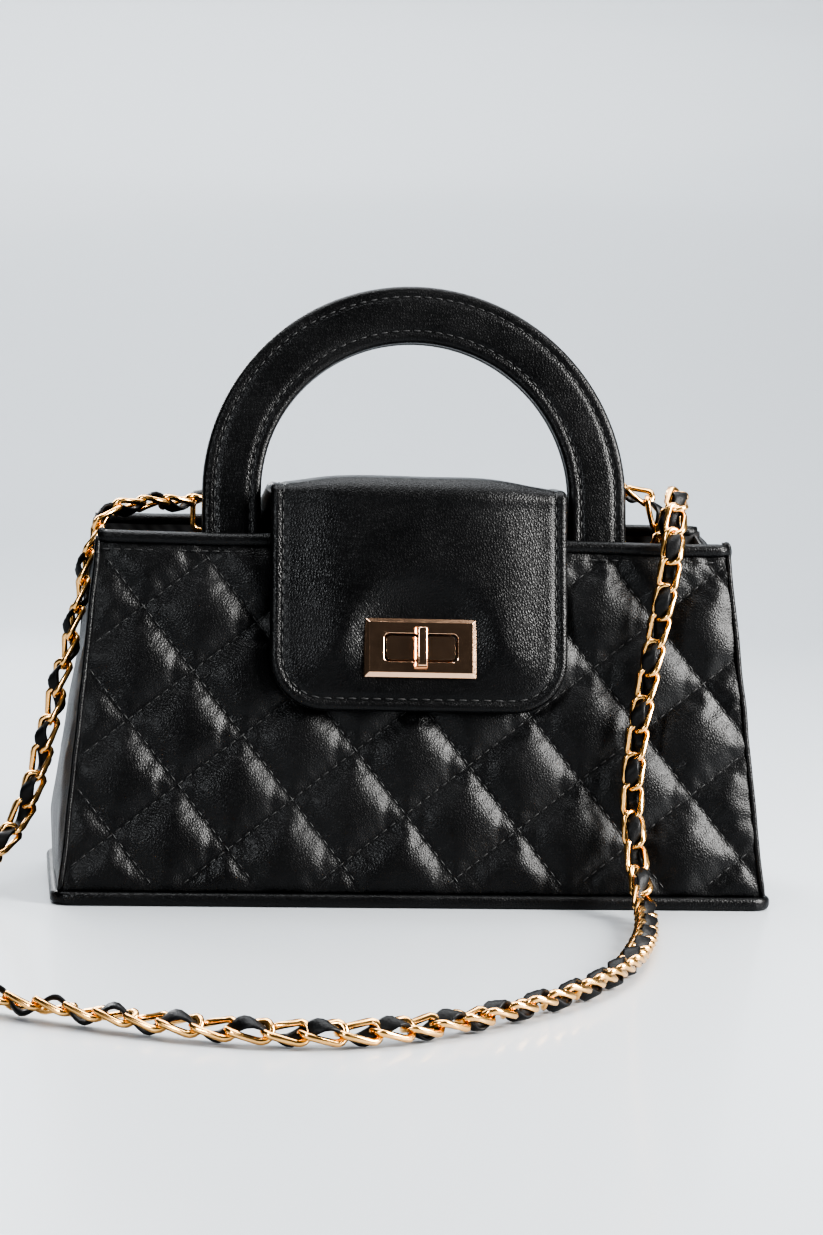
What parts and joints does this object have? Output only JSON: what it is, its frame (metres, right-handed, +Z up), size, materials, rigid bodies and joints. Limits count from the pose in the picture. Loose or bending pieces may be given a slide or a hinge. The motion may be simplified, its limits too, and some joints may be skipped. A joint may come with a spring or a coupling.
{
  "type": "top-handle handbag",
  "caption": "Small trapezoid quilted leather handbag with a stiff arched top handle, a fold-over flap with a turn-lock, and a long chain strap woven with leather.",
  "frame": {"origin": "on the floor under the middle of the bag's base, without the chain strap", "axes": "+Z up, -Y is the front with the flap and lock, +X to the right of someone facing the flap"},
  "size_m": [0.338, 0.3437, 0.2256],
  "materials": {
    "quilted_leather": "black semi-gloss quilted leather, fine grain, tone stitching",
    "smooth_leather": "black satin leather, fine grain",
    "lining_fabric": "black twill lining",
    "foam": "white foam wadding, never seen",
    "stiff_board": "stiffener board, never seen",
    "gold_metal": "polished light gold plate",
    "plated_steel": "plain nickel plate",
    "chain": "polished gold plate links with a black leather lace"
  },
  "bodies": {
    "bag": {"front_panel": "quilted_leather", "back_panel": "quilted_leather", "gusset_left": "smooth_leather", "gusset_right": "smooth_leather", "front_rim_binding": "smooth_leather", "back_rim_binding": "smooth_leather", "base_cover": "smooth_leather", "flap_top_leather": "smooth_leather", "handle_anchor_left": "smooth_leather", "handle_anchor_right": "smooth_leather", "handle_patch_left": "smooth_leather", "handle_patch_right": "smooth_leather", "strap_tab_left": "smooth_leather", "strap_tab_right": "smooth_leather", "front_lining": "lining_fabric", "back_lining": "lining_fabric", "gusset_lining_left": "lining_fabric", "gusset_lining_right": "lining_fabric", "base_lining": "lining_fabric", "flap_top_lining": "lining_fabric", "front_padding": "foam", "back_padding": "foam", "base_foam": "foam", "flap_top_padding": "foam", "base_board": "stiff_board", "flap_fold_roll": "stiff_board", "lock_base_plate": "gold_metal", "lock_collar": "gold_metal", "lock_post": "gold_metal", "strap_ring_left": "gold_metal", "strap_ring_right": "gold_metal", "lock_washer_plate": "plated_steel", "lock_nut": "plated_steel", "chain_strap": "chain"},
    "flap": {"flap_front_leather": "smooth_leather", "flap_front_padding": "foam", "flap_front_lining": "lining_fabric", "lock_frame": "gold_metal", "lock_frame_back_plate": "plated_steel", "lock_frame_rivets": "plated_steel"},
    "toggle": {"lock_toggle": "gold_metal"},
    "handle": {"handle_front_leather": "smooth_leather", "handle_core": "stiff_board", "handle_back_leather": "smooth_leather"}
  },
  "joints": [
    {"name": "flap_lift", "type": "hinge", "parent": "bag", "child": "flap", "pos_m": [0, -0.0236, 0.1475], "axis": [-1, 0, 0], "range_deg": [0, 110]},
    {"name": "toggle_turn", "type": "hinge", "parent": "bag", "child": "toggle", "pos_m": [0, -0.03338, 0.092], "axis": [0, -0.9779, 0.2093], "range_deg": [0, 90]},
    {"name": "handle_tilt", "type": "hinge", "parent": "bag", "child": "handle", "pos_m": [0, -0.01515, 0.1361], "axis": [-1, 0, 0], "range_deg": [-20, 15], "stiffness_Nm_per_rad": 0.4}
  ]
}
